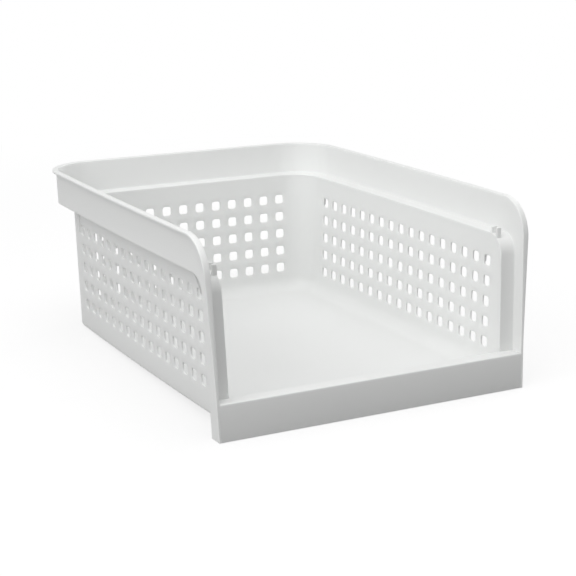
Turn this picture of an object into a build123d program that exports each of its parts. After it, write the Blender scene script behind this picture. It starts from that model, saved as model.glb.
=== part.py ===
from build123d import *
from math import tan, radians, sqrt
import os

# Open-front stacking storage bin, a single white plastic moulding. It is divided at
# its own edges and corners into named solids that meet face to face. Millimetres. X is
# across the opening, Y runs from the open front (negative) to the back wall (positive),
# and Z is up. The origin is the middle of the footprint, at the level of the front
# panel's lower edge.

os.makedirs("parts", exist_ok=True)

# Overall size
overall_depth = 326.0
overall_height = 134.0
half_depth = overall_depth / 2

# Slopes of the moulding
draft = 1.4                      # every wall leans outwards by this angle going up
front_lean = 2.75                # the front frame leans back by this angle

# Plan of the basket part, outer face, at the level of the origin
basket_half_width = 106.7
side_bulge = 2.0                 # the long sides bow outwards by this much
corner_radius = 22.0

# Thicknesses
wall = 1.5                       # perforated walls, floor and ledge
frame_wall = 1.8                 # rim band, flanges and front panel
lip_thickness = 2.0

# Heights
base_level = 6.0                 # underside of the floor
sill_level = 25.5                # top of the low front edge
wall_seam = 20.0                 # the floor tray ends and the walls begin here
rim_rise = 25.0                  # stacking ledge to the rim's top
ledge_drop = 16.0                # stacking ledge to the lower ends of its front bends

# Front frame
frame_depth = 10.2               # front panel to step, along Y
ledge_width = 11.7               # inner wall face to rim band
rim_corner = 27.0                # rounded upper front corner of the rim
ledge_bend = 15.0                # radius by which the ledge turns down to the step
floor_cove = 12.0
sill_round = 0.8

# Rim lip
lip_reach = 2.8
lip_end_level = 30.0             # the lip has tapered away here

# Perforation
pitch = 15.0
hole = 7.5
hole_diagonal = 8.95             # across the rounded corners of a hole
top_row_drop = 21.0              # stacking ledge to the top row
rear_column_setback = 36.0       # rear face to the rearmost column of a side wall

# Stacking lugs
lug_width = 3.5
lug_thickness = 1.9
lug_rise = 4.4
lug_pitch = 5.8
lug_front_gap = 5.4              # step face to the first lug, at ledge level

# Gussets
gusset_thickness = 1.0
gusset_reach = 1.4
gusset_drop = 23.0               # stacking ledge to the foot of a gusset
gusset_offset = 5.4              # from the end hole columns towards the back
flare_start = 2.9                # the front gussets step out to this
flare_reach = 8.5                # and widen to this under the ledge
flare_drop = 19.0                # stacking ledge to the foot of the flare

# Seams of the rear corners, from the basket's side and rear faces
corner_seam_inset = 17.7
corner_seam_setback = 29.9

draft_slope = tan(radians(draft))
lean_slope = tan(radians(front_lean))
band_inner = ledge_width - wall           # rim band's inner face, from the basket's outer face
band_outer = band_inner + frame_wall
basket_rear = half_depth - lip_reach - band_outer - overall_height * draft_slope
back_seam_x = basket_half_width - corner_seam_inset
side_seam_y = basket_rear - corner_seam_setback
reach = 200.0                             # cutting profiles run this far, past the bin on every side

ledge_level = overall_height - rim_rise
ledge_seam = ledge_level - ledge_drop
gusset_foot = ledge_level - gusset_drop
flare_foot = ledge_level - flare_drop

# The holes fill the flat part of each wall
top_row = ledge_level - top_row_drop
rows = int((top_row - wall_seam) / pitch) + 1
hole_rows_z = top_row - pitch * (rows - 1) / 2
rear_column_y = basket_rear - rear_column_setback
bend_end_y = ledge_level * lean_slope - half_depth + frame_depth + ledge_bend
side_columns = int((rear_column_y - bend_end_y) / pitch) + 1
side_holes_y = rear_column_y - pitch * (side_columns - 1) / 2
back_columns = int((2 * back_seam_x - hole) / pitch) + 1


def front_y(z):
    """Front plane of the front panel and flanges."""
    return -half_depth + z * lean_slope


def step_y(z):
    """Front face of the step beside the opening."""
    return front_y(z) + frame_depth


def outline(grow):
    """Plan outline of the basket at the origin's level, moved outwards by grow."""
    half = basket_half_width + grow
    rear = basket_rear + grow
    middle = (basket_rear - half_depth) / 2
    span = (basket_rear + half_depth) / 2
    bow_radius = (span * span + side_bulge * side_bulge) / (2 * side_bulge)
    bow_centre = half + side_bulge - bow_radius
    side_front = -half_depth - 20.0
    front_x = bow_centre + sqrt(bow_radius**2 - (side_front - middle) ** 2)
    rear_x = bow_centre + sqrt(bow_radius**2 - (rear - middle) ** 2)
    with BuildSketch(Plane.XY) as plan:
        with BuildLine():
            ThreePointArc((front_x, side_front), (half + side_bulge, middle), (rear_x, rear))
            Line((rear_x, rear), (-rear_x, rear))
            ThreePointArc((-rear_x, rear), (-half - side_bulge, middle), (-front_x, side_front))
            Line((-front_x, side_front), (front_x, side_front))
        make_face()
        rear_corners = plan.vertices().sort_by(Axis.Y)[-2:]
        fillet(rear_corners, corner_radius + grow)
    return plan.sketch


def under_ledge(drop):
    """Side view of all that lies behind the step and under the ledge, drop mm inside it."""
    top = ledge_level - drop
    with BuildSketch(Plane.YZ) as side_view:
        with BuildLine():
            Polyline(
                (step_y(0) + drop, 0),
                (step_y(top) + drop, top),
                (reach, top),
                (reach, 0),
                close=True,
            )
        make_face()
        bend = side_view.vertices().sort_by(Axis.X)[0:2].sort_by(Axis.Y)[-1]
        fillet(bend, ledge_bend - drop)
    return side_view.sketch


def under_rim(inset):
    """Side view of all that lies behind the front plane and under the rim, inset mm inside it."""
    top = overall_height - inset
    with BuildSketch(Plane.YZ) as side_view:
        with BuildLine():
            Polyline(
                (front_y(0) + inset, 0),
                (front_y(top) + inset, top),
                (reach, top),
                (reach, 0),
                close=True,
            )
        make_face()
        corner = side_view.vertices().sort_by(Axis.X)[0:2].sort_by(Axis.Y)[-1]
        fillet(corner, rim_corner - inset)
    return side_view.sketch


def leaning_strip(setback, bottom, top, depth):
    """Side view of a plate that leans like the front, its face setback mm behind the front plane."""
    with BuildSketch(Plane.YZ) as side_view:
        with BuildLine():
            Polyline(
                (front_y(bottom) + setback, bottom),
                (front_y(top) + setback, top),
                (front_y(top) + setback + depth, top),
                (front_y(bottom) + setback + depth, bottom),
                close=True,
            )
        make_face()
    return side_view.sketch


def hole_field(plane, across, columns):
    """Square holes with rounded corners, in rows and columns."""
    with BuildSketch(plane) as field:
        with Locations((across, hole_rows_z)):
            with GridLocations(pitch, pitch, columns, rows):
                add(one_hole.sketch)
    return field.sketch


with BuildSketch() as one_hole:
    Rectangle(hole, hole)
    Circle(hole_diagonal / 2, mode=Mode.INTERSECT)

# Plan outlines, each flared upwards into a block that bounds the walls
outer_face = outline(0)
inner_face = outline(-wall)
band_inner_face = outline(band_inner)
band_outer_face = outline(band_outer)
lip_edge = outline(band_outer + lip_reach)
lug_outer_face = outline(lug_width - wall)
gusset_edge = outline(gusset_reach)
flare = {"amount": overall_height, "taper": -draft}
upright = (Align.CENTER, Align.CENTER, Align.MIN)
rearward = (Align.CENTER, Align.MIN, Align.CENTER)

# Space inside the basket, with coved lower edges
with BuildPart() as hollow:
    behind_sill = leaning_strip(frame_depth + wall, base_level + wall, overall_height, 2 * reach)
    extrude(behind_sill, amount=reach, both=True)
    extrude(inner_face, **flare, mode=Mode.INTERSECT)
    lower_face = hollow.faces().sort_by(Axis.Z)[0]
    fillet(lower_face.edges(), floor_cove)

# Basket with its low front wall, before it is divided
with BuildPart() as basket:
    extrude(under_ledge(0), amount=reach, both=True)
    extrude(outer_face, **flare, mode=Mode.INTERSECT)
    with Locations((0, 0, base_level)):
        Box(2 * reach, 2 * reach, overall_height, align=upright, mode=Mode.INTERSECT)
    add(hollow.part, mode=Mode.SUBTRACT)

# Floor with its coves and the feet of the walls
with BuildPart() as floor_tray:
    add(basket.part)
    Box(2 * reach, 2 * reach, wall_seam, align=upright, mode=Mode.INTERSECT)

# Walls above the floor tray, open at the front
with BuildPart() as upper_walls:
    extrude(under_ledge(0), amount=reach, both=True)
    extrude(outer_face, **flare, mode=Mode.INTERSECT)
    extrude(inner_face, **flare, mode=Mode.SUBTRACT)
    with Locations((0, 0, wall_seam)):
        Box(2 * reach, 2 * reach, overall_height, align=upright, mode=Mode.INTERSECT)

perforated_sides = {}
rear_corners = {}
step_posts = {}
front_flanges = {}
gussets = {}
lugs = {}

with BuildPart() as back_wall:
    add(upper_walls.part)
    with Locations((0, side_seam_y, 0)):
        Box(2 * back_seam_x, reach, 2 * reach, align=rearward, mode=Mode.INTERSECT)
    extrude(hole_field(Plane.XZ, 0, back_columns), amount=-reach, mode=Mode.SUBTRACT)

# The ledge goes round three sides and bends down at both front ends
with BuildPart() as stacking_ledge:
    extrude(under_ledge(0), amount=reach, both=True)
    extrude(under_ledge(wall), amount=reach, both=True, mode=Mode.SUBTRACT)
    extrude(band_inner_face, **flare, mode=Mode.INTERSECT)
    extrude(outer_face, **flare, mode=Mode.SUBTRACT)
    with Locations((0, 0, ledge_seam)):
        Box(2 * reach, 2 * reach, overall_height, align=upright, mode=Mode.INTERSECT)

# Rim band and flanges in one, before they are divided
with BuildPart() as outer_skin:
    extrude(under_rim(0), amount=reach, both=True)
    extrude(under_ledge(wall), amount=reach, both=True, mode=Mode.SUBTRACT)
    extrude(band_outer_face, **flare, mode=Mode.INTERSECT)
    extrude(band_inner_face, **flare, mode=Mode.SUBTRACT)

with BuildPart() as rim_band:
    add(outer_skin.part)
    with Locations((0, 0, ledge_seam)):
        Box(2 * reach, 2 * reach, overall_height, align=upright, mode=Mode.INTERSECT)

# Out-turned lip along the rim, tapering away down the flanges
with BuildPart() as rim_lip:
    extrude(under_rim(0), amount=reach, both=True)
    extrude(under_rim(lip_thickness), amount=reach, both=True, mode=Mode.SUBTRACT)
    extrude(lip_edge, **flare, mode=Mode.INTERSECT)
    extrude(band_outer_face, **flare, mode=Mode.SUBTRACT)
    taper_x = basket_half_width + band_outer + lip_end_level * draft_slope
    full_x = basket_half_width + band_outer + ledge_level * draft_slope + lip_reach
    with BuildSketch(Plane.XZ) as lip_taper:
        with BuildLine():
            Polyline(
                (-reach, overall_height),
                (-reach, ledge_level),
                (-full_x, ledge_level),
                (-taper_x, lip_end_level),
                (taper_x, lip_end_level),
                (full_x, ledge_level),
                (reach, ledge_level),
                (reach, overall_height),
                close=True,
            )
        make_face()
    extrude(amount=reach, both=True, mode=Mode.INTERSECT)

# Low front edge: a flat strip behind the panel, and under it the top of the front wall
strip_depth = frame_depth - frame_wall
with BuildPart() as front_strip:
    extrude(
        leaning_strip(frame_wall, sill_level - wall, sill_level, strip_depth),
        amount=reach,
        both=True,
    )
    extrude(band_inner_face, **flare, mode=Mode.INTERSECT)
with BuildPart() as front_sill:
    extrude(leaning_strip(frame_depth, wall_seam, sill_level, wall), amount=reach, both=True)
    extrude(inner_face, **flare, mode=Mode.INTERSECT)
    add(front_strip.part)

with BuildPart() as front_panel:
    extrude(leaning_strip(0, 0, sill_level, frame_wall), amount=reach, both=True)
    extrude(band_inner_face, **flare, mode=Mode.INTERSECT)
    upper_edge = front_panel.edges().filter_by(Axis.X).group_by(Axis.Z)[-1].sort_by(Axis.Y)[0]
    fillet(upper_edge, sill_round)

for side_name, sign in (("left", -1), ("right", 1)):
    outward = (Align.MAX if sign < 0 else Align.MIN, Align.CENTER, Align.CENTER)
    with BuildPart() as side_wall:
        add(upper_walls.part)
        with Locations((0, side_seam_y - reach, 0)):
            Box(reach, 2 * reach, 4 * reach, align=outward, mode=Mode.INTERSECT)
        extrude(hole_field(Plane.YZ, side_holes_y, side_columns), amount=sign * reach, mode=Mode.SUBTRACT)
    perforated_sides[side_name] = side_wall.part

    with BuildPart() as corner:
        add(upper_walls.part)
        with Locations((0, side_seam_y + reach, 0)):
            Box(reach, 2 * reach, 4 * reach, align=outward, mode=Mode.INTERSECT)
        with Locations((sign * back_seam_x, side_seam_y + reach, 0)):
            Box(reach, 2 * reach, 4 * reach, align=outward, mode=Mode.INTERSECT)
    rear_corners[side_name] = corner.part

    with BuildPart() as post:
        extrude(leaning_strip(frame_depth, base_level, ledge_seam, wall), amount=reach, both=True)
        extrude(band_inner_face, **flare, mode=Mode.INTERSECT)
        extrude(outer_face, **flare, mode=Mode.SUBTRACT)
        Box(reach, 4 * reach, 4 * reach, align=outward, mode=Mode.INTERSECT)
    step_posts[side_name] = post.part

    with BuildPart() as flange:
        add(outer_skin.part)
        Box(2 * reach, 2 * reach, ledge_seam, align=upright, mode=Mode.INTERSECT)
        Box(reach, 4 * reach, 4 * reach, align=outward, mode=Mode.INTERSECT)
    front_flanges[side_name] = flange.part

    # Two small teeth with a notch between them, at the ledge's inner edge
    first_lug_y = step_y(ledge_level) + lug_front_gap
    for lug_name, lug_y in (("front", first_lug_y), ("rear", first_lug_y + lug_pitch)):
        with BuildPart() as lug:
            with Locations((0, lug_y, ledge_seam)):
                Box(
                    2 * reach,
                    lug_thickness,
                    ledge_level + lug_rise - ledge_seam,
                    align=(Align.CENTER, Align.MIN, Align.MIN),
                )
            extrude(lug_outer_face, **flare, mode=Mode.INTERSECT)
            extrude(inner_face, **flare, mode=Mode.SUBTRACT)
            extrude(under_ledge(0), amount=reach, both=True, mode=Mode.SUBTRACT)
            Box(reach, 4 * reach, 4 * reach, align=outward, mode=Mode.INTERSECT)
        lugs[side_name + "_" + lug_name + "_lug"] = lug.part

    # Narrow ribs outside the wall, under the ledge, at both ends of the hole field
    field_half = pitch * (side_columns - 1) / 2
    under = ledge_level - wall
    root = basket_half_width - wall
    flare_root = basket_half_width + draft_slope * flare_foot + flare_start
    flare_tip = basket_half_width + draft_slope * under + flare_reach
    for fin_name, column_y in (("front", side_holes_y - field_half), ("rear", side_holes_y + field_half)):
        fin_y = column_y + gusset_offset
        with BuildPart() as fin:
            with Locations((0, fin_y, gusset_foot)):
                Box(2 * reach, gusset_thickness, under - gusset_foot, align=upright)
            extrude(gusset_edge, **flare, mode=Mode.INTERSECT)
            if fin_name == "front":
                with BuildSketch(Plane.XZ.offset(-fin_y)):
                    with BuildLine():
                        Polyline(
                            (sign * root, flare_foot),
                            (sign * flare_root, flare_foot),
                            (sign * flare_tip, under),
                            (sign * root, under),
                            close=True,
                        )
                    make_face()
                extrude(amount=gusset_thickness / 2, both=True)
            extrude(outer_face, **flare, mode=Mode.SUBTRACT)
            Box(reach, 4 * reach, 4 * reach, align=outward, mode=Mode.INTERSECT)
        gussets[side_name + "_" + fin_name + "_gusset"] = fin.part

pieces = {
    "floor_tray": floor_tray.part,
    "back_wall": back_wall.part,
    "stacking_ledge": stacking_ledge.part,
    "rim_band": rim_band.part,
    "rim_lip": rim_lip.part,
    "front_sill": front_sill.part,
    "front_panel": front_panel.part,
}
for side_name in ("left", "right"):
    pieces[side_name + "_side_wall"] = perforated_sides[side_name]
    pieces["rear_" + side_name + "_corner"] = rear_corners[side_name]
    pieces[side_name + "_step_post"] = step_posts[side_name]
    pieces[side_name + "_front_flange"] = front_flanges[side_name]
pieces.update(lugs)
pieces.update(gussets)

for name, piece in pieces.items():
    piece.label = name
    export_step(piece, "parts/" + name + ".step")
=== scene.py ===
"""Open-front stacking storage bin, one white plastic moulding.

The moulding is modelled in four kinds of piece: the perforated basket with its coved
floor, the rim frame (stacking ledge, rim band, lip, posts and flanges), the low front
edge, and the small lugs and gussets. Each piece is modelled straight, in millimetres,
on a bench where X runs along the wall, Y points out of the wall and Z is up. It is then
wrapped round the plan of the bin, in metres, in the frame of the CAD model.
"""
import logging
from abc import ABC, abstractmethod
from contextlib import contextmanager
from dataclasses import dataclass
from enum import Enum
from math import asin, atan2, cos, hypot, inf, pi, radians, sin, sqrt, tan
from typing import Callable, ClassVar, Iterable, Iterator, NamedTuple, Union

import bmesh
import bpy
from mathutils import Euler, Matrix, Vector


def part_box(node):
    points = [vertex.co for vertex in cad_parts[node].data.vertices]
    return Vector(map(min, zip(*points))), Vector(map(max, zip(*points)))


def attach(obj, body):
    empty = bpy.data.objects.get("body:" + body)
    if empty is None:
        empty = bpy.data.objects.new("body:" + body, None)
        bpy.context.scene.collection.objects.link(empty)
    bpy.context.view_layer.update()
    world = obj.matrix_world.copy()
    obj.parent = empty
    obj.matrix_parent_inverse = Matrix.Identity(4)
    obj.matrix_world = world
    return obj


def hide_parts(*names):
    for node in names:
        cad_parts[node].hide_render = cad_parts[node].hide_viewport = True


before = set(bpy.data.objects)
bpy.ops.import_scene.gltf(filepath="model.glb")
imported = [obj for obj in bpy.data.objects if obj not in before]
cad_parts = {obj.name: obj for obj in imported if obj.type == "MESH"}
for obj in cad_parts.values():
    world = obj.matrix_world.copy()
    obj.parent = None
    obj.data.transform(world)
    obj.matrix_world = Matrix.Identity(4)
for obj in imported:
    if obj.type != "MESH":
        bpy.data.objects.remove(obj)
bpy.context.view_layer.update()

log = logging.getLogger("storage_bin")

MM = 0.001
NEAR = 0.01                            # millimetres within which two bench places are the same
SEAM = 0.004                           # millimetres within which vertices are merged
FACING = 0.9                           # least part of a normal on the axis that a face looks along
BODY = "root"

Place = tuple[float, float, float]
Colour = tuple[float, float, float, float]
Operand = Union["Wire", float]
Tint = Union["Wire", Colour]
Settings = dict[str, object]
Sockets = dict[Union[str, int], object]


class Side(Enum):
    """The two long sides of the bin, with the sign of X on each."""

    LEFT = -1
    RIGHT = 1


class End(Enum):
    """The two ends of a long side."""

    FRONT = "front"
    REAR = "rear"


class Axis(Enum):
    """The bench's axes: along the wall, out of it and up."""

    ALONG = "x"
    OUT = "y"
    UP = "z"

    def move(self, length: float) -> Place:
        """A move of a given length along the axis."""
        return tuple(length if axis is self else 0.0 for axis in Axis)


class Pick(Enum):
    """What is selected in edit mode."""

    VERTICES = "VERT"
    EDGES = "EDGE"
    FACES = "FACE"


class Rounding(NamedTuple):
    """A long edge of a cross-section and the radius that it gets, in millimetres."""

    out: float
    up: float
    radius: float
    segments: int


def level(node: str, top: bool) -> float:
    """Height of a CAD node's top or bottom, in millimetres."""
    low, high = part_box(node)
    return (high if top else low).z / MM


def lies_at(edge: bmesh.types.BMEdge, near: float = NEAR, **at: float) -> bool:
    """Whether both ends of an edge have the given coordinates, such as y=0."""
    ends = [vert.co for vert in edge.verts]
    return all(abs(getattr(end, axis) - value) < near for end in ends for axis, value in at.items())


@dataclass(frozen=True)
class BinSizes:
    """Driving sizes of the moulding, in millimetres and degrees."""

    half_depth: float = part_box("rim_lip")[1].y / MM
    height: float = level("rim_band", top=True)
    base: float = level("floor_tray", top=False)
    sill: float = level("front_sill", top=True)
    ledge: float = level("stacking_ledge", top=True)
    draft: float = 1.4
    lean: float = 2.75
    half_width: float = 106.7
    bulge: float = 2.0
    corner: float = 22.0
    wall: float = 1.5
    frame_wall: float = 1.8
    ledge_width: float = 11.7
    frame_depth: float = 10.2
    rim_corner: float = 27.0
    ledge_bend: float = 15.0
    cove: float = 12.0
    lip_reach: float = 2.8
    lip_thickness: float = 2.0
    lip_end: float = 30.0
    pitch: float = 15.0
    hole: float = 7.5
    hole_corner: float = 2.0
    side_columns: int = 17
    back_columns: int = 12
    rows: int = 5
    top_row: float = 88.0
    rear_column_setback: float = 36.0

    @property
    def slope(self) -> float:
        """Outward slope of every wall."""
        return tan(radians(self.draft))

    @property
    def band_inner(self) -> float:
        """Inner face of the rim band, outwards from the basket's outer face."""
        return self.ledge_width - self.wall

    @property
    def band_outer(self) -> float:
        """Outer face of the rim band, outwards from the basket's outer face."""
        return self.band_inner + self.frame_wall

    @property
    def rear(self) -> float:
        """Y of the basket's rear face at the level of the origin."""
        return self.half_depth - self.lip_reach - self.band_outer - self.height * self.slope

    @property
    def side_field_rear(self) -> float:
        """Y of the rear border of the side wall's cells."""
        return self.rear - self.rear_column_setback + self.pitch / 2

    @property
    def field_bottom(self) -> float:
        """Lower border of the lowest row of hole cells."""
        return self.top_row - self.pitch * (self.rows - 0.5)

    @property
    def field_top(self) -> float:
        """Upper border of the highest row of hole cells."""
        return self.top_row + self.pitch / 2

    def front_y(self, z: float) -> float:
        """Front plane of the panel and flanges."""
        return -self.half_depth + z * tan(radians(self.lean))

    def step_y(self, z: float) -> float:
        """Front face of the step beside the opening."""
        return self.front_y(z) + self.frame_depth


@dataclass(frozen=True)
class PlanOutline:
    """U-shaped plan of the basket: a straight back, round rear corners and bowed sides.

    A place on it is its run, the distance from the middle of the back. Positive runs
    lie on the right half and negative runs on the left half.
    """

    sizes: BinSizes

    @property
    def bow_radius(self) -> float:
        """Radius of the bowed long side."""
        span = (self.sizes.rear + self.sizes.half_depth) / 2
        return (span * span + self.sizes.bulge**2) / (2 * self.sizes.bulge)

    @property
    def bow_centre(self) -> tuple[float, float]:
        """Centre of the right side's bow."""
        x = self.sizes.half_width + self.sizes.bulge - self.bow_radius
        return x, (self.sizes.rear - self.sizes.half_depth) / 2

    @property
    def corner_centre(self) -> tuple[float, float]:
        """Centre of the right rear corner, tangent to the back and to the bowed side."""
        (bow_x, bow_y), y = self.bow_centre, self.sizes.rear - self.sizes.corner
        return bow_x + sqrt((self.bow_radius - self.sizes.corner) ** 2 - (y - bow_y) ** 2), y

    @property
    def corner_end(self) -> float:
        """Angle from +X at which the corner meets the bowed side."""
        (corner_x, corner_y), (bow_x, bow_y) = self.corner_centre, self.bow_centre
        return atan2(corner_y - bow_y, corner_x - bow_x)

    @property
    def corner_run(self) -> float:
        """Run at which the corner begins."""
        return self.corner_centre[0]

    @property
    def side_run(self) -> float:
        """Run at which the long side begins."""
        return self.corner_run + self.sizes.corner * (pi / 2 - self.corner_end)

    @property
    def side_y(self) -> float:
        """Y at which the long side begins."""
        return self.corner_centre[1] + self.sizes.corner * sin(self.corner_end)

    def run_at(self, y: float) -> float:
        """Run of the place on the right long side at a given Y."""
        return self.side_run + self.side_y - y

    def y_at(self, run: float) -> float:
        """Y of the place on the long side at a given run."""
        return self.side_y - (run - self.side_run)

    def side_x(self, y: float, grow: float) -> float:
        """X of the right long side at a given Y, moved outwards by grow."""
        bow_x, bow_y = self.bow_centre
        return bow_x + sqrt((self.bow_radius + grow) ** 2 - (y - bow_y) ** 2)

    def point(self, run: float, grow: float) -> tuple[float, float]:
        """Plan position of a run, moved outwards by grow.

        Args:
            run: Distance from the middle of the back, in millimetres.
            grow: Distance outwards from the basket's outer face at the origin's level.

        Returns:
            X and Y in millimetres.
        """
        away = abs(run)
        sign = -1 if run < 0 else 1
        if away <= self.corner_run:
            return sign * away, self.sizes.rear + grow
        if away <= self.side_run:
            turn = pi / 2 - (away - self.corner_run) / self.sizes.corner
            corner_x, corner_y = self.corner_centre
            radius = self.sizes.corner + grow
            return sign * (corner_x + radius * cos(turn)), corner_y + radius * sin(turn)
        y = self.y_at(away)
        return sign * self.side_x(y, grow), y


@dataclass(frozen=True)
class BentPath:
    """Path of the ledge or the rim on the right half: level, round a bend and down the front.

    A place on it is its stage: 0 in the middle of the back, 1 where the bend starts, 2
    where it ends and 3 at the foot, on the level of the origin.
    """

    sizes: BinSizes
    outline: PlanOutline
    top: float
    radius: float
    face_y: Callable[[float], float]   # Y of the face that the path goes down, by height

    @property
    def turn(self) -> float:
        """Angle of the whole bend."""
        return radians(90 - self.sizes.lean)

    @property
    def bend_centre(self) -> tuple[float, float]:
        """Run and height of the bend's centre."""
        z = self.top - self.radius
        return self.outline.run_at(self.face_y(z) + self.radius / cos(radians(self.sizes.lean))), z

    @property
    def bend_foot(self) -> float:
        """Height at which the bend ends."""
        return self.bend_centre[1] + self.radius * cos(self.turn)

    def outward(self, stage: float) -> tuple[float, float]:
        """Run and height parts of the outward normal."""
        angle = min(max(stage - 1, 0.0), 1.0) * self.turn
        return sin(angle), cos(angle)

    def at(self, stage: float) -> tuple[float, float]:
        """A place on the path.

        Args:
            stage: 0 to 3.

        Returns:
            Run and height in millimetres.
        """
        centre_run, centre_z = self.bend_centre
        if stage <= 1:
            return stage * centre_run, self.top
        run_out, up_out = self.outward(stage)
        run, z = centre_run + self.radius * run_out, centre_z + self.radius * up_out
        if stage <= 2:
            return run, z
        low_z = z - (stage - 2) * z
        return run + (z - low_z) * tan(radians(self.sizes.lean)), low_z


class Workpiece:
    """One mesh on the bench, shaped by edit-mode operators and modifiers."""

    def __init__(self, name: str) -> None:
        """Take the active object as the workpiece and name it."""
        self.obj = bpy.context.active_object
        self.obj.name = self.obj.data.name = name

    @staticmethod
    def clear_selection() -> None:
        """Deselect every object."""
        bpy.ops.object.select_all(action="DESELECT")

    @classmethod
    def block(cls, name: str, low: Vector, high: Vector) -> "Workpiece":
        """Add a cuboid.

        Args:
            name: Name of the new object.
            low: Its lowest corner.
            high: Its highest corner.

        Returns:
            The cuboid, as a workpiece.
        """
        cls.clear_selection()
        bpy.ops.mesh.primitive_cube_add(size=1, location=(low + high) / 2)
        bpy.context.active_object.scale = high - low
        bpy.ops.object.transform_apply(location=True, rotation=True, scale=True)
        return cls(name)

    def activate(self) -> None:
        """Select this object alone and make it the active one."""
        self.clear_selection()
        self.obj.select_set(True)
        bpy.context.view_layer.objects.active = self.obj

    @contextmanager
    def edit(self, kind: Pick) -> Iterator[None]:
        """Edit mode with nothing selected, until the end of the block.

        Args:
            kind: What is selected.

        Returns:
            The context.
        """
        self.activate()
        bpy.ops.object.mode_set(mode="EDIT")
        self.pick_by(kind)
        self.pick_none()
        yield
        bpy.ops.object.mode_set(mode="OBJECT")

    @staticmethod
    def pick_by(kind: Pick) -> None:
        """Select vertices, edges or faces from here on."""
        bpy.ops.mesh.select_mode(type=kind.value)

    @staticmethod
    def pick_all() -> None:
        """Select the whole mesh."""
        bpy.ops.mesh.select_all(action="SELECT")

    @staticmethod
    def pick_none() -> None:
        """Deselect the whole mesh."""
        bpy.ops.mesh.select_all(action="DESELECT")

    def pick_faces(self, test: Callable[[Vector, Vector], bool]) -> None:
        """Select faces.

        Args:
            test: Whether a face is wanted, by its centre and normal.
        """
        self.pick_none()
        bm = bmesh.from_edit_mesh(self.obj.data)
        for face in bm.faces:
            face.select_set(test(face.calc_center_median(), face.normal))
        bmesh.update_edit_mesh(self.obj.data)

    def pick_edges(self, test: Callable[[bmesh.types.BMEdge], bool]) -> None:
        """Select edges.

        Args:
            test: Whether an edge is wanted.
        """
        self.pick_none()
        bm = bmesh.from_edit_mesh(self.obj.data)
        bm.normal_update()
        for edge in bm.edges:
            edge.select_set(test(edge))
        bmesh.update_edit_mesh(self.obj.data)

    def pick_edges_at(self, **at: float) -> None:
        """Select the edges whose ends have the given bench coordinates."""
        self.pick_edges(lambda edge: lies_at(edge, **at))

    def cut(self, axis: Axis, value: float) -> None:
        """Cut the whole mesh by a plane that stands across an axis."""
        self.pick_all()
        bpy.ops.mesh.bisect(plane_co=axis.move(value), plane_no=axis.move(1.0))

    @staticmethod
    def pull(axis: Axis, length: float) -> None:
        """Extrude the selected faces or edges along a bench axis."""
        bpy.ops.mesh.extrude_region_move(TRANSFORM_OT_translate={"value": axis.move(length)})

    def draw_out(self, axis: Axis, start: float, step: float, count: int = 1, below: float = inf) -> None:
        """Extrude an open border in equal steps along a bench axis.

        Args:
            axis: Axis along which the border moves.
            start: Place of the border on the axis.
            step: Length of each step, negative for a move back or down.
            count: Number of steps.
            below: Greatest height of the edges that move.
        """
        for turn in range(count):
            here = {axis.value: start + step * turn}
            self.pick_edges(
                lambda edge: edge.is_boundary
                and lies_at(edge, **here)
                and all(vert.co.z <= below + NEAR for vert in edge.verts)
            )
            self.pull(axis, step)

    @staticmethod
    def round_edges(radius: float, segments: int) -> None:
        """Bevel the selected edges to a radius."""
        bpy.ops.mesh.bevel(offset=radius, segments=segments, profile=0.5, affect="EDGES", clamp_overlap=True)

    def round_section(self, roundings: Iterable[Rounding]) -> None:
        """Round edges of the cross-section, which run along X.

        Args:
            roundings: The edges and their radii.
        """
        for rounding in roundings:
            self.pick_edges_at(y=rounding.out, z=rounding.up)
            self.round_edges(rounding.radius, rounding.segments)

    def modifier(self, kind: str, **settings: object) -> None:
        """Add a modifier and apply it.

        Args:
            kind: Its type.
            settings: Its settings by name.
        """
        self.activate()
        added = self.obj.modifiers.new(kind.title(), kind)
        for key, value in settings.items():
            setattr(added, key, value)
        bpy.ops.object.modifier_apply(modifier=added.name)

    def wrap(self, place: Callable[[Vector], Place]) -> None:
        """Move every vertex from the bench to the bin.

        Args:
            place: Real place of a bench point, in millimetres.
        """
        for vert in self.obj.data.vertices:
            vert.co = Vector(place(vert.co)) * MM
        self.obj.data.update()

    def mirror(self) -> None:
        """Add the left half to a right half that is open at X = 0."""
        self.modifier("MIRROR", use_clip=False, merge_threshold=0.02 * MM)

    def smooth(self, crease: float) -> None:
        """Merge doubles, turn normals outwards and shade smooth.

        Args:
            crease: Angle in degrees above which an edge stays sharp.
        """
        with self.edit(Pick.VERTICES):
            self.pick_all()
            bpy.ops.mesh.remove_doubles(threshold=SEAM * MM)
            self.pick_all()
            bpy.ops.mesh.normals_make_consistent(inside=False)
        self.activate()
        bpy.ops.object.shade_smooth_by_angle(angle=radians(crease))

    def join(self, other: "Workpiece") -> None:
        """Join another workpiece into this one.

        Args:
            other: The workpiece that ends here.
        """
        self.activate()
        other.obj.select_set(True)
        bpy.ops.object.join()


@dataclass
class MouldedPart(ABC):
    """What the pieces of the moulding share: sizes, plan, CAD nodes and dressing."""

    sizes: BinSizes
    outline: PlanOutline
    nodes: ClassVar[tuple[str, ...]]   # the CAD nodes that the piece stands for

    @abstractmethod
    def build(self) -> Workpiece:
        """Model the piece."""

    def dress(self, piece: Workpiece, finish: bpy.types.Material) -> None:
        """Give a piece its finish, seat it on the bin's body and hide its CAD nodes.

        Args:
            piece: The piece that was built.
            finish: Its material.
        """
        piece.obj.data.materials.clear()
        piece.obj.data.materials.append(finish)
        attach(piece.obj, BODY)
        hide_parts(*self.nodes)


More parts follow.
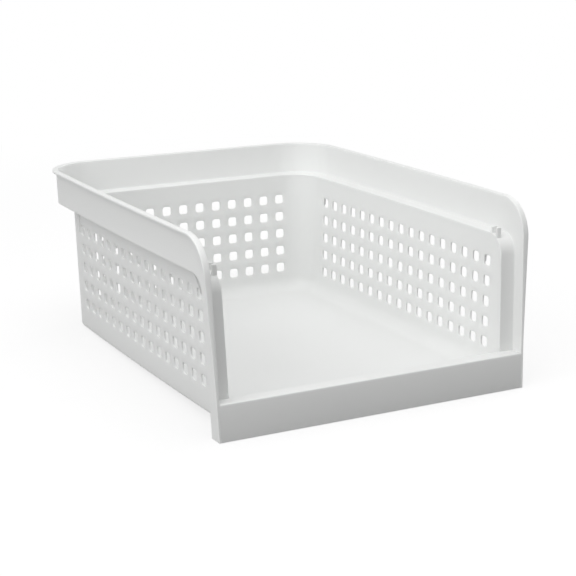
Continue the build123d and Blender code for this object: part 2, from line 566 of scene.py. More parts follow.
@dataclass
class PerforatedBasket(MouldedPart):
    """Walls with square holes, round rear corners, coves and the floor, in one shell."""

    nodes: ClassVar[tuple[str, ...]] = (
        "floor_tray", "back_wall",
        "left_side_wall", "rear_left_corner", "right_side_wall", "rear_right_corner",
    )
    cell_cuts: int = 4
    hole_segments: int = 4
    hole_edge: float = 0.5
    corner_cuts: int = 9
    top_cuts: int = 4
    margin_cuts: int = 3
    margin_step: float = 3.0           # bench width of each strip in front of the holes
    middle_cuts: int = 4
    middle_length: float = 40.0        # bench length of half the low front wall
    low_wall_top: float = 23.5
    cove_rows: int = 8
    foot_straight: float = 0.375       # share of the cove's rows that goes straight down
    foot_bend: float = 0.375           # and that goes round the foot
    foot_round: float = 2.2
    edge_overlap: float = 1.6          # the walls end this far inside the rim frame
    crease: float = 32.0               # degrees above which an edge stays sharp

    @property
    def first_side_run(self) -> float:
        """Run of the first side cell's border."""
        return self.outline.run_at(self.sizes.side_field_rear)

    @property
    def last_side_run(self) -> float:
        """Run of the last side cell's border, towards the front."""
        return self.first_side_run + self.sizes.pitch * self.sizes.side_columns

    @property
    def corner_bench(self) -> float:
        """Bench X of the front corner."""
        return self.last_side_run + self.margin_step * self.margin_cuts

    @property
    def middle_bench(self) -> float:
        """Bench X of the middle of the low front wall."""
        return self.corner_bench + self.middle_length

    @property
    def cove_top(self) -> float:
        """Height at which the walls turn into the coves."""
        return self.sizes.base + self.sizes.wall + self.sizes.cove

    def cell(self, name: str, start: float) -> Workpiece:
        """Model one square cell of wall with a rounded hole, standing on the bench.

        Args:
            name: Name of the new object.
            start: Bench X of the cell's border.

        Returns:
            The cell, one ring of faces.
        """
        half = self.sizes.pitch / 2
        centre = Vector((start + half, 0.0, self.sizes.field_bottom + half))
        upright = (radians(90), 0.0, 0.0)
        Workpiece.clear_selection()
        bpy.ops.mesh.primitive_plane_add(size=self.sizes.hole, location=centre, rotation=upright)
        bpy.ops.object.transform_apply(location=True, rotation=True, scale=True)
        piece = Workpiece(name)
        with piece.edit(Pick.VERTICES):
            piece.pick_all()
            bpy.ops.mesh.bevel(offset=self.sizes.hole_corner, segments=self.hole_segments, affect="VERTICES")
            piece.pick_none()
            bpy.ops.mesh.primitive_plane_add(size=self.sizes.pitch, location=centre, rotation=upright)
            bpy.ops.mesh.subdivide(number_cuts=self.cell_cuts)
            piece.pick_by(Pick.FACES)
            piece.pick_all()
            bpy.ops.mesh.region_to_loop()
            piece.pick_by(Pick.EDGES)
            self.keep_outlines(piece, centre)
            bpy.ops.mesh.bridge_edge_loops()
        return piece

    def keep_outlines(self, piece: Workpiece, centre: Vector) -> None:
        """Keep only the hole's loop and the cell's border, and select both.

        Args:
            piece: The cell, in edit mode.
            centre: Middle of the hole.
        """
        half = self.sizes.pitch / 2
        bm = bmesh.from_edit_mesh(piece.obj.data)

        def on_border(vert: bmesh.types.BMVert) -> bool:
            """Whether a vertex lies on the cell's border."""
            across = max(abs(vert.co.x - centre.x), abs(vert.co.z - centre.z))
            return abs(across - half) < NEAR

        hole = {vert for face in bm.faces if len(face.verts) > 4 for vert in face.verts}
        inner = [vert for vert in bm.verts if vert not in hole and not on_border(vert)]
        bmesh.ops.delete(bm, geom=inner, context="VERTS")
        bmesh.ops.delete(bm, geom=list(bm.faces), context="FACES_ONLY")
        for edge in bm.edges:
            edge.select_set(True)
        bmesh.update_edit_mesh(piece.obj.data)

    def panel(self, name: str, start: float, columns: int) -> Workpiece:
        """Repeat a cell into a panel of columns and rows.

        Args:
            name: Name of the new object.
            start: Bench X of the first cell's border.
            columns: Number of cells along the wall.

        Returns:
            The flat panel.
        """
        piece = self.cell(name, start)
        for count, axis in ((columns, Axis.ALONG), (self.sizes.rows, Axis.UP)):
            piece.modifier(
                "ARRAY",
                count=count,
                use_relative_offset=False,
                use_constant_offset=True,
                constant_offset_displace=axis.move(self.sizes.pitch),
                use_merge_vertices=True,
                merge_threshold=NEAR,
            )
        return piece

    def profile(self, depth: float, bench_z: float) -> tuple[float, float]:
        """Cross-section of the wall, its cove and the edge of the floor.

        Args:
            depth: 0 on the outer face and 1 on the inner face.
            bench_z: Height on the bench, which below the cove's top counts its rows.

        Returns:
            Distance outwards from the outer face, and height.
        """
        if bench_z >= self.cove_top:
            return -depth * self.sizes.wall, bench_z
        share = (self.cove_top - bench_z) / self.cove_rows
        turn = share * pi / 2
        inner_out = -self.sizes.wall - self.sizes.cove * (1 - cos(turn))
        inner_up = self.cove_top - self.sizes.cove * sin(turn)
        outer_out, outer_up = self.foot(share)
        return outer_out + depth * (inner_out - outer_out), outer_up + depth * (inner_up - outer_up)

    def foot(self, share: float) -> tuple[float, float]:
        """Outer face below the cove's top: down, round the foot and in under the floor.

        Args:
            share: 0 at the cove's top and 1 at the floor's edge.

        Returns:
            Distance outwards from the outer face, and height.
        """
        straight, bend, radius = self.foot_straight, self.foot_bend, self.foot_round
        if share <= straight:
            drop = self.cove_top - self.sizes.base - radius
            return 0.0, self.cove_top - drop * share / straight
        if share <= straight + bend:
            turn = (share - straight) / bend * pi / 2
            return -radius * (1 - cos(turn)), self.sizes.base + radius * (1 - sin(turn))
        rest = (share - straight - bend) / (1 - straight - bend)
        return -radius - rest * (self.sizes.wall + self.sizes.cove - radius), self.sizes.base

    def front_edge_y(self, out: float, up: float) -> float:
        """Y at which the side wall ends at the front.

        Args:
            out: Distance outwards from the wall's outer face.
            up: Height.

        Returns:
            Y in millimetres, on the step or on the ledge's bend above it.
        """
        if up < self.low_wall_top + 0.5:
            return self.sizes.step_y(up) - out
        bend = self.sizes.ledge_bend
        bend_centre_z = self.sizes.ledge - bend
        if up <= bend_centre_z:
            return self.sizes.step_y(up) + self.edge_overlap
        radius = bend - self.edge_overlap
        rise = min((up - bend_centre_z) / radius, 1.0)
        return self.sizes.step_y(bend_centre_z) + bend - radius * cos(asin(rise))

    def place(self, bench: Vector) -> Place:
        """Wrap a bench point of the right half.

        Args:
            bench: The point on the bench.

        Returns:
            Its real place in millimetres.
        """
        out, up = self.profile(-bench.y / self.sizes.wall, bench.z)
        grow = out + up * self.sizes.slope
        if bench.x <= self.last_side_run:
            return *self.outline.point(bench.x, grow), up
        corner_y = self.front_edge_y(out, up)
        share = (bench.x - self.last_side_run) / (self.corner_bench - self.last_side_run)
        if share <= 1:
            last_y = self.outline.y_at(self.last_side_run)
            y = last_y + share * (corner_y - last_y)
            return self.outline.side_x(y, grow), y, up
        across = (bench.x - self.corner_bench) / (self.middle_bench - self.corner_bench)
        return self.outline.side_x(corner_y, grow) * (1 - across), corner_y, up

    def build(self) -> Workpiece:
        """Model the right half flat, wrap it round the plan and mirror it.

        Returns:
            The shell.
        """
        piece = self.panel("basket_shell", 0.0, self.sizes.back_columns // 2)
        piece.join(self.panel("side_panel", self.first_side_run, self.sizes.side_columns))
        with piece.edit(Pick.EDGES):
            self.close_corner(piece)
            self.add_margins(piece)
        piece.modifier("SOLIDIFY", thickness=self.sizes.wall, offset=-1.0, use_even_offset=False)
        with piece.edit(Pick.EDGES):
            piece.pick_edges(self.is_hole_edge)
            piece.round_edges(self.hole_edge, 2)
            self.open_seams(piece)
        piece.wrap(self.place)
        piece.mirror()
        self.close_floor(piece)
        piece.smooth(self.crease)
        return piece

    def close_corner(self, piece: Workpiece) -> None:
        """Bridge the gap between the back panel and the side panel.

        Args:
            piece: The two panels, in edit mode.
        """
        ends = (self.sizes.pitch * self.sizes.back_columns / 2, self.first_side_run)
        piece.pick_edges(lambda edge: edge.is_boundary and any(lies_at(edge, x=end) for end in ends))
        bpy.ops.mesh.bridge_edge_loops(number_cuts=self.corner_cuts, interpolation="LINEAR", smoothness=0)

    def add_margins(self, piece: Workpiece) -> None:
        """Pull the borders out to the top, the front, the coves and the low front wall.

        Args:
            piece: The wall with its holes, in edit mode.
        """
        top, bottom = self.sizes.field_top, self.sizes.field_bottom
        top_edge = self.sizes.ledge - self.edge_overlap
        piece.draw_out(Axis.UP, top, (top_edge - top) / self.top_cuts, self.top_cuts)
        piece.draw_out(Axis.ALONG, self.last_side_run, self.margin_step, self.margin_cuts)
        piece.draw_out(Axis.UP, bottom, self.cove_top - bottom)
        piece.draw_out(Axis.UP, self.cove_top, -1.0, self.cove_rows)
        width = self.middle_length / self.middle_cuts
        piece.draw_out(Axis.ALONG, self.corner_bench, width, self.middle_cuts, below=self.low_wall_top)
        piece.pick_all()
        bpy.ops.mesh.normals_make_consistent(inside=False)

    def is_hole_edge(self, edge: bmesh.types.BMEdge) -> bool:
        """Whether an edge goes round the mouth of a hole.

        Args:
            edge: An edge of the solid wall on the bench.

        Returns:
            True if one face beside it lies in the wall's face and the other in a hole.
        """
        if len(edge.link_faces) != 2:
            return False
        across, flat = sorted(abs(face.normal.y) for face in edge.link_faces)
        low, high = self.sizes.field_bottom + 1, self.sizes.field_top - 1
        in_rows = all(low < vert.co.z < high for vert in edge.verts)
        in_columns = all(0.5 < vert.co.x < self.last_side_run - 0.5 for vert in edge.verts)
        return across < 0.3 and flat > 0.7 and in_rows and in_columns

    def open_seams(self, piece: Workpiece) -> None:
        """Take away the end faces where the halves meet and where the floor joins.

        Args:
            piece: The solid wall, in edit mode.
        """
        piece.pick_by(Pick.FACES)
        floor_z = self.cove_top - self.cove_rows
        piece.pick_faces(
            lambda centre, normal: abs(centre.x) < NEAR
            or abs(centre.x - self.middle_bench) < NEAR
            or abs(centre.z - floor_z) < NEAR
        )
        bpy.ops.mesh.delete(type="FACE")

    def close_floor(self, piece: Workpiece) -> None:
        """Fill the floor's upper and lower faces between the coves.

        Args:
            piece: The whole shell, in metres.
        """
        slack = 5 * NEAR * MM
        for height in (self.sizes.base + self.sizes.wall, self.sizes.base):
            with piece.edit(Pick.EDGES):
                piece.pick_edges(lambda edge: edge.is_boundary and lies_at(edge, slack, z=height * MM))
                bpy.ops.mesh.edge_face_add()


@dataclass
class RimFrame(MouldedPart):
    """Stacking ledge, rim band, out-turned lip, posts and flanges, as one swept frame."""

    nodes: ClassVar[tuple[str, ...]] = (
        "stacking_ledge", "rim_band", "rim_lip",
        "left_step_post", "left_front_flange", "right_step_post", "right_front_flange",
    )
    stage_length: float = 100.0        # bench length of each stage of the paths
    corner_steps: int = 14
    side_steps: int = 12
    bend_steps: int = 12
    front_steps: int = 10
    stub: float = 3.0                  # the frame reaches this far down over the wall
    stub_skin: float = 0.03            # and stands this far clear of it on both faces
    kept_low: float = 3.0              # cross-section kept unscaled next to the ledge
    kept_high: float = 4.0             # and next to the lip
    least_lip: float = 0.03            # share of the lip's reach that is left at the foot
    buried: float = -0.6               # below the sill the post ends inside the wall
    crease: float = 38.0

    @property
    def band_rise(self) -> float:
        """Height of the rim above the ledge."""
        return self.sizes.height - self.sizes.ledge

    @property
    def ledge(self) -> BentPath:
        """Path of the ledge."""
        sizes = self.sizes
        return BentPath(sizes, self.outline, sizes.ledge, sizes.ledge_bend, sizes.step_y)

    @property
    def rim(self) -> BentPath:
        """Path of the rim."""
        sizes = self.sizes
        return BentPath(sizes, self.outline, sizes.height, sizes.rim_corner, sizes.front_y)

    def rim_place(self, stage: float, ledge_run: float) -> tuple[float, float]:
        """Place on the rim above a place on the ledge.

        Args:
            stage: Stage of both.
            ledge_run: Run of the place on the ledge.

        Returns:
            Run and height in millimetres.
        """
        run, z = self.rim.at(stage)
        if stage < 1:
            start = self.outline.side_run
            ledge_end = self.ledge.bend_centre[0]
            rim_end = self.rim.bend_centre[0]
            share = max(0.0, (ledge_run - start) / (ledge_end - start))
            run = ledge_run + share * (rim_end - ledge_end)
        return run, z

    def place(self, bench: Vector) -> Place:
        """Wrap a bench point of the right half.

        Args:
            bench: The point on the bench.

        Returns:
            Its real place in millimetres.
        """
        sizes = self.sizes
        stage, out, rise = bench.x / self.stage_length, bench.y, bench.z
        run, z = self.ledge.at(stage)
        if rise <= 0:
            run_out, up_out = self.ledge.outward(stage)
            if out < sizes.band_inner - NEAR and z < sizes.base:
                z = sizes.base
                run = self.outline.run_at(sizes.step_y(z))
            run, z = run + rise * run_out, z + rise * up_out
        else:
            rim_run, rim_z = self.rim_place(stage, run)
            length = hypot(rim_run - run, rim_z - z)
            share = self.band_length(rise, length) / length
            run, z = run + share * (rim_run - run), z + share * (rim_z - z)
        if rise < 0 and out < NEAR:
            out += self.stub_skin if out > -sizes.wall / 2 else -self.stub_skin
        if out > sizes.band_outer:
            out = sizes.band_outer + (out - sizes.band_outer) * self.lip_share(z)
        if stage > 2 and z < sizes.sill - 0.5 and out < NEAR:
            out = self.buried
        z = max(z, 0.0)
        return *self.outline.point(run, out + z * sizes.slope), z

    def band_length(self, rise: float, length: float) -> float:
        """Distance from the ledge of a point of the band.

        Args:
            rise: Height of the point on the bench.
            length: Real distance from the ledge to the rim.

        Returns:
            The distance, in which only the middle of the band is stretched.
        """
        if rise < self.kept_low:
            return rise
        if rise > self.band_rise - self.kept_high:
            return length - (self.band_rise - rise)
        middle = self.band_rise - self.kept_low - self.kept_high
        return self.kept_low + (rise - self.kept_low) / middle * (length - self.kept_low - self.kept_high)

    def lip_share(self, z: float) -> float:
        """Width of the lip as a share of its full reach, tapering down the flange."""
        taper = (z - self.sizes.lip_end) / (self.sizes.ledge - self.sizes.lip_end)
        return min(1.0, max(self.least_lip, taper))

    def stations(self) -> list[float]:
        """Places of the cross-sections.

        Returns:
            Bench X of each, in order.
        """

        def split(start: float, end: float, count: int) -> list[float]:
            """Ends of equal steps between two values."""
            return [start + (end - start) * step / count for step in range(1, count + 1)]

        level_end = self.ledge.bend_centre[0]
        corner, side = self.outline.corner_run, self.outline.side_run
        runs = [corner / 2, corner, *split(corner, side, self.corner_steps)]
        runs += split(side, level_end, self.side_steps)
        stages = [run / level_end for run in runs]
        stages += split(1, 2, self.bend_steps) + split(2, 3, self.front_steps)[:-1]
        top = self.ledge.bend_foot
        stages += [2 + (top - z) / top for z in (self.sizes.sill, self.sizes.sill - 1, self.sizes.base)]
        return sorted(self.stage_length * stage for stage in stages)

    def build(self) -> Workpiece:
        """Model the cross-section, sweep it and wrap it round the plan.

        Returns:
            The whole frame.
        """
        sizes, rise = self.sizes, self.band_rise
        low = Vector((0, -sizes.wall, -sizes.wall))
        piece = Workpiece.block("rim_frame", low, Vector((3 * self.stage_length, sizes.band_outer, 0)))
        lip_foot = rise - sizes.lip_thickness
        lip_edge = sizes.band_outer + sizes.lip_reach
        with piece.edit(Pick.FACES):
            piece.cut(Axis.OUT, sizes.band_inner)
            piece.cut(Axis.OUT, 0.0)
            piece.pick_faces(lambda centre, normal: normal.z > FACING and centre.y > sizes.band_inner)
            piece.pull(Axis.UP, rise)
            piece.cut(Axis.UP, lip_foot)
            piece.pick_faces(lambda centre, normal: normal.y > FACING and centre.z > lip_foot)
            piece.pull(Axis.OUT, sizes.lip_reach)
            piece.pick_faces(lambda centre, normal: normal.z < -FACING and centre.y < 0 and centre.z < 0)
            piece.pull(Axis.UP, sizes.wall - self.stub)
        roundings = (
            Rounding(-sizes.wall, 0.0, 0.6, 3),
            Rounding(sizes.band_inner, 0.0, 1.0, 4),
            Rounding(sizes.band_inner, rise, 0.7, 3),
            Rounding(lip_edge, rise, 0.8, 3),
            Rounding(lip_edge, lip_foot, 0.5, 2),
            Rounding(sizes.band_outer, lip_foot, 0.5, 2),
            Rounding(sizes.band_outer, -sizes.wall, 0.5, 2),
            Rounding(0.0, -sizes.wall, 0.9, 3),
        )
        with piece.edit(Pick.EDGES):
            piece.round_section(roundings)
            for station in self.stations():
                piece.cut(Axis.ALONG, station)
            piece.pick_by(Pick.FACES)
            piece.pick_faces(lambda centre, normal: abs(centre.x) < NEAR)
            bpy.ops.mesh.delete(type="FACE")
        piece.wrap(self.place)
        piece.mirror()
        piece.smooth(self.crease)
        return piece


@dataclass
class FrontEdge(MouldedPart):
    """Front panel, the sill behind it and the top of the low front wall."""

    nodes: ClassVar[tuple[str, ...]] = ("front_panel", "front_sill")
    leg_foot: float = 23.4
    buried: float = 0.3                # the ends reach this far into the flanges
    quarters: tuple[int, ...] = (-3, -2, -1, 0, 1, 2, 3)
    crease: float = 38.0

    def place(self, bench: Vector) -> Place:
        """Wrap a bench point.

        Args:
            bench: The point on the bench, whose X is its share of the half width.

        Returns:
            Its real place in millimetres.
        """
        y = self.sizes.front_y(bench.z) + bench.y
        out = self.sizes.band_inner if bench.y < self.sizes.frame_depth + NEAR else -self.sizes.wall
        grow = out + self.buried + bench.z * self.sizes.slope
        return bench.x * self.outline.side_x(y, grow), y, bench.z

    def build(self) -> Workpiece:
        """Model the cross-section across the opening and lean it like the front.

        Returns:
            The edge.
        """
        sizes = self.sizes
        piece = Workpiece.block("front_edge", Vector((-1, 0, 0)), Vector((1, sizes.frame_wall, sizes.sill)))
        strip_foot = sizes.sill - sizes.wall
        with piece.edit(Pick.FACES):
            piece.cut(Axis.UP, strip_foot)
            for reach in (sizes.frame_depth - sizes.frame_wall, sizes.wall):
                piece.pick_faces(lambda centre, normal: normal.y > FACING and centre.z > strip_foot)
                piece.pull(Axis.OUT, reach)
            piece.pick_faces(lambda centre, normal: normal.z < -FACING and centre.y > sizes.frame_depth)
            piece.pull(Axis.UP, self.leg_foot - strip_foot)
        roundings = (
            Rounding(0.0, sizes.sill, 0.8, 3),
            Rounding(sizes.frame_depth + sizes.wall, sizes.sill, 1.1, 4),
            Rounding(0.0, 0.0, 0.35, 2),
            Rounding(sizes.frame_wall, 0.0, 0.35, 2),
            Rounding(sizes.frame_wall, strip_foot, 1.0, 3),
        )
        with piece.edit(Pick.EDGES):
            piece.round_section(roundings)
            for quarter in self.quarters:
                piece.cut(Axis.ALONG, quarter / 4)
        piece.wrap(self.place)
        piece.smooth(self.crease)
        return piece


@dataclass
class SidePart(MouldedPart):
    """One small piece on the outside of a long side, near its front or its rear."""

    side: Side
    end: End
    crease: ClassVar[float] = 50.0
    kind: ClassVar[str]

    @property
    def nodes(self) -> tuple[str, ...]:
        """The one CAD node of this side and end."""
        return (f"{self.side.name}_{self.end.name}_{self.kind}".lower(),)

    def blank(self, form: str, inner: float, outer: float) -> Workpiece:
        """Add a block that is as long and as high as the CAD node.

        Args:
            form: What the piece is, for its name.
            inner: Bench Y of its inner face.
            outer: Bench Y of its outer face.

        Returns:
            The block.
        """
        node = self.nodes[0]
        low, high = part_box(node)
        low_corner = Vector((low.y / MM, inner, low.z / MM))
        return Workpiece.block(f"{node}_{form}", low_corner, Vector((high.y / MM, outer, high.z / MM)))

    def place(self, bench: Vector) -> Place:
        """Real place of a bench point, whose X is the real Y."""
        x = self.outline.side_x(bench.x, bench.y + bench.z * self.sizes.slope)
        return self.side.value * x, bench.x, bench.z


@dataclass
class StackingLug(SidePart):
    """One small tooth on the ledge's inner edge, beside the opening."""

    kind: ClassVar[str] = "lug"
    width: float = 3.5
    top_round: float = 0.45
    side_round: float = 0.3
    least_upright: float = 2.0         # a longer edge along Z is one of the tooth's corners

    def build(self) -> Workpiece:
        """Model the tooth inside its CAD node's box, with worn soft edges.

        Returns:
            The tooth.
        """
        piece = self.blank("tooth", -self.sizes.wall, self.width - self.sizes.wall)
        with piece.edit(Pick.EDGES):
            piece.pick_edges_at(z=level(self.nodes[0], top=True))
            piece.round_edges(self.top_round, 3)
            piece.pick_edges(lambda edge: abs(edge.verts[0].co.z - edge.verts[1].co.z) > self.least_upright)
            piece.round_edges(self.side_round, 2)
        piece.wrap(self.place)
        piece.smooth(self.crease)
        return piece


@dataclass
class Gusset(SidePart):
    """One narrow rib outside the wall, under the ledge, flared at its top beside the front."""

    kind: ClassVar[str] = "gusset"
    root: float = -0.4                 # the rib starts inside the wall
    reach: float = 1.4
    flare_start: float = 2.9
    flare_reach: float = 8.5
    flare_foot: float = 90.0
    edge_round: float = 0.3

    def build(self) -> Workpiece:
        """Model the rib between its CAD node's faces and draw out its flare.

        Returns:
            The rib.
        """
        piece = self.blank("rib", self.root, self.reach)
        with piece.edit(Pick.EDGES):
            if self.end is End.FRONT:
                self.draw_flare(piece)
            piece.pick_edges(lambda edge: all(vert.co.y > 0.1 for vert in edge.verts))
            piece.round_edges(self.edge_round, 2)
        piece.wrap(self.place)
        piece.smooth(self.crease)
        return piece

    def draw_flare(self, piece: Workpiece) -> None:
        """Step the rib out above the flare's foot and draw its top edge out.

        Args:
            piece: The rib, in edit mode.
        """
        piece.pick_by(Pick.FACES)
        piece.cut(Axis.UP, self.flare_foot)
        piece.pick_faces(lambda centre, normal: normal.y > FACING and centre.z > self.flare_foot)
        piece.pull(Axis.OUT, self.flare_start - self.reach)
        piece.pick_by(Pick.EDGES)
        piece.pick_edges_at(y=self.flare_start, z=level(self.nodes[0], top=True))
        bpy.ops.transform.translate(value=Axis.OUT.move(self.flare_reach - self.flare_start))


class Wire:
    """One output socket in a shader, with arithmetic that adds its Math nodes."""

    def __init__(self, graph: "ShaderGraph", socket: bpy.types.NodeSocket) -> None:
        """Wrap a socket of a graph."""
        self.graph = graph
        self.socket = socket

    def math(self, operation: str, *values: Operand) -> "Wire":
        """Add a Math node that works on this value and others."""
        inputs = {0: self, **dict(enumerate(values, 1))}
        return self.graph.add("ShaderNodeMath", {"operation": operation}, inputs)

    def __add__(self, other: Operand) -> "Wire":
        """This value plus another."""
        return self.math("ADD", other)

    __radd__ = __add__

    def __mul__(self, other: Operand) -> "Wire":
        """This value times another."""
        return self.math("MULTIPLY", other)

    __rmul__ = __mul__

    def __sub__(self, other: Operand) -> "Wire":
        """This value less another."""
        return self.math("SUBTRACT", other)

    def __rsub__(self, other: Operand) -> "Wire":
        """Another value less this one."""
        return self.graph.add("ShaderNodeMath", {"operation": "SUBTRACT"}, {0: other, 1: self})

    def between(self, low: float, high: float) -> "Wire":
        """0 below low, 1 above high and a smooth rise between them."""
        values = {"Value": self, "From Min": low, "From Max": high}
        return self.graph.add("ShaderNodeMapRange", {"interpolation_type": "SMOOTHSTEP"}, values)


class ShaderGraph:
    """The node tree of one material or of the world."""

    def __init__(self, owner: Union[bpy.types.Material, bpy.types.World]) -> None:
        """Start an empty tree.

        Args:
            owner: The material or world that it belongs to.
        """
        owner.use_nodes = True
        self.tree = owner.node_tree
        self.tree.nodes.clear()

    def node(self, kind: str, settings: Settings, values: Sockets) -> bpy.types.Node:
        """Add a node.

        Args:
            kind: The node's type.
            settings: Attributes, which are set first.
            values: Sockets by name or number, each a value or a wire.

        Returns:
            The node.
        """
        node = self.tree.nodes.new(kind)
        for key, value in settings.items():
            setattr(node, key, value)
        for key, value in values.items():
            if isinstance(value, Wire):
                self.tree.links.new(value.socket, node.inputs[key])
            else:
                node.inputs[key].default_value = value
        return node

    def add(self, kind: str, settings: Settings, values: Sockets, output: Union[str, int] = 0) -> Wire:
        """Add a node and take one of its outputs, by name or number."""
        return Wire(self, self.node(kind, settings, values).outputs[output])

    def noise(self, where: Wire, scale: float, detail: float = 2.0) -> Wire:
        """Noise of a given scale on a position."""
        return self.add("ShaderNodeTexNoise", {}, {"Vector": where, "Scale": scale, "Detail": detail})

    def mix(self, factor: Wire, low: Tint, high: Tint, blend: str = "MIX") -> Wire:
        """Mix two colours by a factor."""
        settings = {"data_type": "RGBA", "blend_type": blend}
        return self.add("ShaderNodeMix", settings, {"Factor": factor, 6: low, 7: high}, output=2)

    def blend(self, factor: Operand, first: Wire, second: Wire) -> Wire:
        """Mix two shaders by a factor."""
        return self.add("ShaderNodeMixShader", {}, {0: factor, 1: first, 2: second})

    def seen_by(self, *rays: str) -> Wire:
        """Tell some kinds of light ray from the others.

        Args:
            rays: The kinds, such as Camera.

        Returns:
            1 for those kinds and 0 for the others.
        """
        path = self.node("ShaderNodeLightPath", {}, {})
        seen, *others = (Wire(self, path.outputs[f"Is {ray} Ray"]) for ray in rays)
        for other in others:
            seen = seen.math("MAXIMUM", other)
        return seen


@dataclass(frozen=True)
class MouldedPlastic:
    """Satin white polypropylene with flow clouds, fine grain and faint handling marks."""

    name: str = "moulded_plastic"
    light: Colour = (0.885, 0.892, 0.884, 1.0)
    dark: Colour = (0.865, 0.873, 0.866, 1.0)
    scuff: Colour = (0.74, 0.75, 0.74, 1.0)
    roughness: float = 0.36
    refraction: float = 1.49
    cloud_scale: float = 14.0
    flow_scale: float = 45.0
    grain_scale: float = 2600.0
    mark_scale: float = 210.0
    patch_scale: float = 30.0
    grain_depth: float = 0.02
    glow: float = 0.08
    glow_depth: float = 2.0
    through: float = 0.13              # share of light that passes through the thin walls

    def make(self) -> bpy.types.Material:
        """Build the material.

        Returns:
            The material.
        """
        material = bpy.data.materials.new(self.name)
        graph = ShaderGraph(material)
        where = graph.add("ShaderNodeTexCoord", {}, {}, output="Object")
        clouds = graph.noise(where, self.cloud_scale, 3.0)
        flow = graph.noise(where, self.flow_scale, 4.0)
        grain = graph.noise(where, self.grain_scale)
        patches = graph.noise(where, self.patch_scale).between(0.5, 0.68)
        marks = graph.noise(where, self.mark_scale, 6.0).between(0.70, 0.80) * patches
        base = graph.mix(clouds * 0.7 + flow * 0.3, self.dark, self.light)
        worn = graph.mix(marks * 0.5, self.light, self.scuff)
        relief = {"Strength": 0.25, "Distance": self.grain_depth * MM, "Height": grain * 0.6 + flow * 4.0}
        values = {
            "Base Color": graph.mix(marks * 0.35, base, worn, "MULTIPLY"),
            "Roughness": self.roughness + clouds * 0.08 + flow * 0.06 + marks * 0.12,
            "Normal": graph.add("ShaderNodeBump", {}, relief),
            "IOR": self.refraction,
            "Subsurface Weight": self.glow,
            "Subsurface Radius": (1.0, 1.0, 1.0),
            "Subsurface Scale": self.glow_depth * MM,
        }
        surface = graph.add("ShaderNodeBsdfPrincipled", {}, values)
        sheer = graph.add("ShaderNodeBsdfTranslucent", {}, {"Color": self.light})
        graph.node("ShaderNodeOutputMaterial", {}, {"Surface": graph.blend(self.through, surface, sheer)})
        return material


@dataclass(frozen=True)
class PaleFloor:
    """Floor finish: matt to the light, and pale to the eye, turning white away from the bin."""

    name: str = "studio_floor"
    matt: Colour = (0.31, 0.31, 0.31, 1.0)
    pale: Colour = (0.92, 0.92, 0.92, 1.0)
    white: Colour = (1.0, 1.0, 1.0, 1.0)
    least_white: float = 0.75
    white_from: float = 0.40           # metres from the middle of the floor
    white_to: float = 1.10

    def make(self) -> bpy.types.Material:
        """Build the material.

        Returns:
            The material.
        """
        material = bpy.data.materials.new(self.name)
        graph = ShaderGraph(material)
        where = graph.add("ShaderNodeTexCoord", {}, {}, output="Object")
        away = graph.add("ShaderNodeVectorMath", {"operation": "LENGTH"}, {0: where}, output="Value")
        shade = (1 - away.between(self.white_from, self.white_to)) * (1 - self.least_white)
        pale = graph.add("ShaderNodeBsdfDiffuse", {}, {"Color": self.pale})
        glow = graph.add("ShaderNodeEmission", {}, {"Color": self.white, "Strength": 1.0})
        matt = graph.add("ShaderNodeBsdfDiffuse", {}, {"Color": self.matt})
        seen = graph.seen_by("Camera", "Glossy", "Transmission")
        surface = graph.blend(seen, matt, graph.blend(1 - shade, pale, glow))
        graph.node("ShaderNodeOutputMaterial", {}, {"Surface": surface})
        return material


@dataclass(frozen=True)
class SoftLamp:
    """One square lamp, in metres and watts."""

    name: str
    size: float
    energy: float
    place: Place

    def hang(self, target: Vector) -> None:
        """Add the lamp and point it.

        Args:
            target: The place that it points at.
        """
        data = bpy.data.lights.new(self.name, "AREA")
        data.shape = "SQUARE"
        data.size = self.size
        data.energy = self.energy
        lamp = bpy.data.objects.new(self.name, data)
        lamp.location = self.place
        lamp.rotation_euler = (target - lamp.location).to_track_quat("-Z", "Y").to_euler()
        bpy.context.scene.collection.objects.link(lamp)


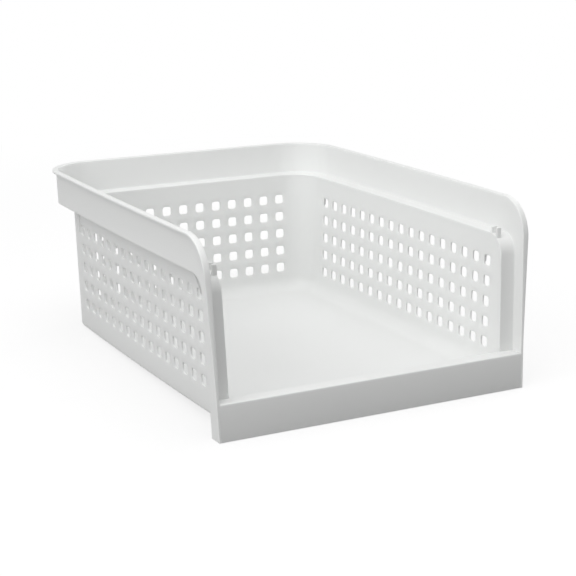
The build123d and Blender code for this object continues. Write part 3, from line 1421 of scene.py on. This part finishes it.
@dataclass(frozen=True)
class Studio:
    """Pale floor, soft lamps, white surroundings and the camera."""

    floor_size: float = 40.0
    foot_depth: float = 11.7           # millimetres from the panel's face to the flanges' rear edge
    world_level: float = 0.36
    lit_height: float = 0.06
    lamps: tuple[SoftLamp, ...] = (
        SoftLamp("overhead", 1.8, 10.0, (-0.35, 0.1, 1.5)),
        SoftLamp("front_top", 1.2, 5.2, (0.1, -0.5, 1.4)),
        SoftLamp("left_fill", 1.4, 14.5, (-1.4, -0.7, 0.9)),
        SoftLamp("right_side", 1.2, 9.0, (1.3, 0.35, 0.6)),
    )
    lens: float = 94.392
    sensor: float = 36.0
    place: Place = (-0.49671, -0.99891, 0.33893)
    azimuth: float = 27.1433
    elevation: float = 14.4363
    roll: float = -0.6207

    def build_world(self) -> None:
        """White to the eye, and softer as a light."""
        world = bpy.data.worlds.new("studio_world")
        bpy.context.scene.world = world
        graph = ShaderGraph(world)
        soft, white = (
            graph.add("ShaderNodeBackground", {}, {"Color": (1.0, 1.0, 1.0, 1.0), "Strength": strength})
            for strength in (self.world_level, 1.0)
        )
        surface = graph.blend(graph.seen_by("Camera"), soft, white)
        graph.node("ShaderNodeOutputWorld", {}, {"Surface": surface})

    def build_floor(self) -> None:
        """Pale floor, tilted so that the flanges' feet and the bin's rear edge touch it."""
        Workpiece.clear_selection()
        bpy.ops.mesh.primitive_plane_add(size=self.floor_size)
        floor = bpy.context.active_object
        floor.name = "studio_floor"
        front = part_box("front_panel")[0]
        tray_low, tray_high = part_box("floor_tray")
        foot = Vector((0, front.y + self.foot_depth * MM, front.z))
        floor.location = foot
        floor.rotation_euler.x = atan2(tray_low.z - foot.z, tray_high.y - foot.y)
        floor.data.materials.append(PaleFloor().make())

    def build_camera(self) -> None:
        """Camera at the photograph's viewing angle."""
        data = bpy.data.cameras.new("camera")
        data.lens = self.lens
        data.sensor_width = self.sensor
        data.sensor_fit = "HORIZONTAL"
        camera = bpy.data.objects.new("camera", data)
        camera.location = self.place
        turn = Euler((radians(90 - self.elevation), 0, -radians(self.azimuth)), "XYZ").to_matrix()
        roll = Euler((0, 0, radians(self.roll)), "XYZ").to_matrix()
        camera.rotation_euler = (turn @ roll).to_euler()
        bpy.context.scene.collection.objects.link(camera)
        bpy.context.scene.camera = camera

    def build(self) -> None:
        """Set up the whole studio."""
        self.build_world()
        self.build_floor()
        for lamp in self.lamps:
            lamp.hang(Vector((0, 0, self.lit_height)))
        self.build_camera()
        bpy.context.scene.view_settings.view_transform = "Standard"


def main() -> None:
    """Build the bin's pieces in order, then the studio."""
    logging.basicConfig(level=logging.INFO, format="%(message)s")
    sizes = BinSizes()
    outline = PlanOutline(sizes)
    finish = MouldedPlastic().make()
    parts: list[MouldedPart] = [part(sizes, outline) for part in (PerforatedBasket, RimFrame, FrontEdge)]
    for side in Side:
        for end in End:
            parts += [StackingLug(sizes, outline, side, end), Gusset(sizes, outline, side, end)]
    for part in parts:
        piece = part.build()
        part.dress(piece, finish)
        faces = len(piece.obj.data.polygons)
        log.info("%s stands for %s, %d faces", piece.obj.name, ", ".join(part.nodes), faces)
    Studio().build()


if __name__ == "__main__":
    main()
